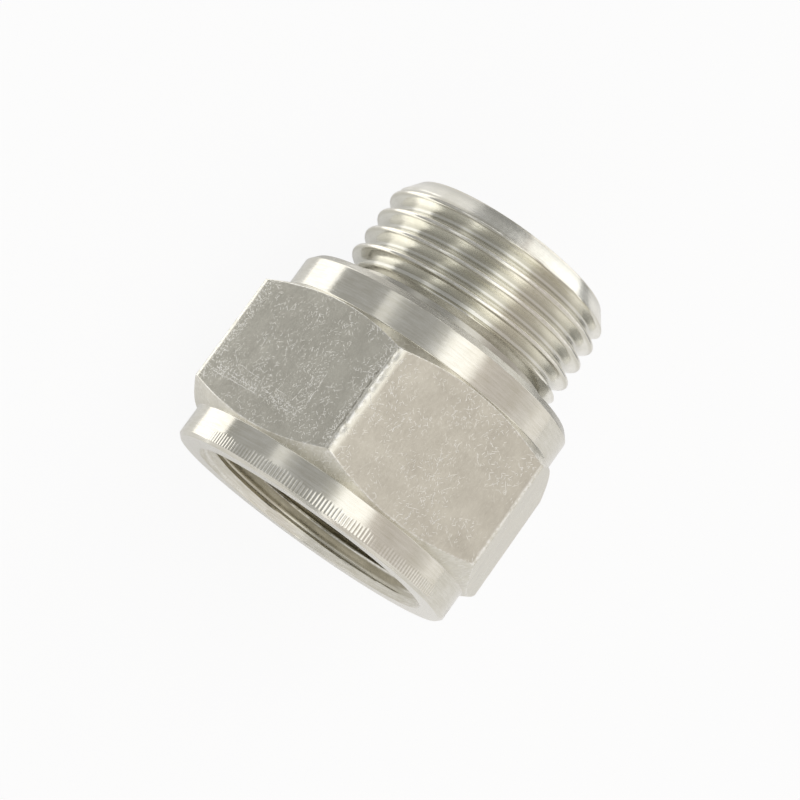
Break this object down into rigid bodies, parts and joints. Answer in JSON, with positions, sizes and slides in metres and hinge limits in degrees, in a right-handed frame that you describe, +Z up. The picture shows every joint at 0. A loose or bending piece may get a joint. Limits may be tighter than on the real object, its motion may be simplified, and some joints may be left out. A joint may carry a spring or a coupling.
{
  "type": "cable gland",
  "caption": "Hexagon cable gland with a male pipe thread and a threaded mouth; a recessed hollow screw presses a slip ring on a rubber seal.",
  "frame": {"origin": "middle of the footprint, at the lowest hexagon flat that the gland lies on", "axes": "+X along the cable axis from the mouth to the male thread, +Z up through the upper hexagon flat"},
  "size_m": [0.0286, 0.0308, 0.027],
  "materials": {
    "body_plate": "bright nickel plate over turned brass",
    "screw_plate": "bright nickel plate over turned brass",
    "ring_plastic": "natural polyamide",
    "seal_rubber": "matt moulded rubber",
    "inner_rubber": "matt moulded rubber",
    "washer_steel": "zinc plated"
  },
  "bodies": {
    "gland_body": {"gland_body": "body_plate", "sealing_ring": "seal_rubber", "inner_seal": "inner_rubber", "seat_washer": "washer_steel"},
    "slip_ring": {"slip_ring": "ring_plastic"},
    "gland_screw": {"gland_screw": "screw_plate"}
  },
  "joints": [
    {"name": "slip_ring_slide", "type": "slide", "parent": "gland_body", "child": "slip_ring", "axis": [1, 0, 0], "range_m": [0, 0.00363], "deforming": ["sealing_ring", "inner_seal"]},
    {"name": "gland_screw_turn", "type": "hinge", "parent": "slip_ring", "child": "gland_screw", "pos_m": [-0.0095, 0, 0.0135], "axis": [1, 0, 0], "range_deg": [0, 720]}
  ],
  "couplings": [
    {"joint": "slip_ring_slide", "follows": "gland_screw_turn", "m_per_rad": 0.00028875}
  ]
}
